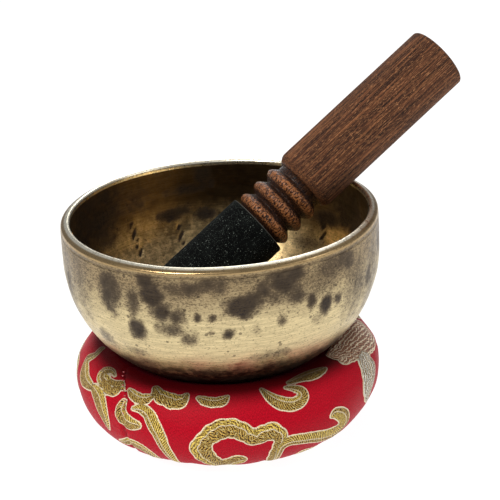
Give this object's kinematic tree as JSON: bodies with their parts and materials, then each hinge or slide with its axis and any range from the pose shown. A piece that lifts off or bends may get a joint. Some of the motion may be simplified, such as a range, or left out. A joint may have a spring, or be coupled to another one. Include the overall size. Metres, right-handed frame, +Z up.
{
  "type": "singing bowl",
  "caption": "Round-bottomed hammered bronze singing bowl on a brocade ring cushion, with a turned wooden mallet with a suede sleeve leaning in it.",
  "frame": {"origin": "centre of the ring cushion's underside, on the axis shared by the cushion and the bowl", "axes": "+Z up through the open mouth of the bowl; +X towards the side that the mallet's grip leans over; -Y towards the front"},
  "size_m": [0.1835, 0.14, 0.1629],
  "materials": {
    "bronze": "hand-hammered, antique patina, polished rim",
    "rosewood": "turned and waxed",
    "suede": "napped black suede",
    "brocade": "satin ground with woven gold scrolls",
    "red_thread": "twisted sewing thread"
  },
  "bodies": {
    "cushion": {"cushion": "brocade", "joint_thread": "red_thread", "gather_thread": "red_thread"},
    "bowl": {"bowl": "bronze"},
    "mallet": {"mallet_wood": "rosewood", "suede_sleeve": "suede"}
  },
  "joints": [
    {"name": "bowl_lift", "type": "slide", "parent": "cushion", "child": "bowl", "axis": [0, 0, 1], "range_m": [0, 0.1]},
    {"name": "mallet_draw", "type": "slide", "parent": "bowl", "child": "mallet", "axis": [0.7364, 0.268, 0.6211], "range_m": [0, 0.15]}
  ]
}
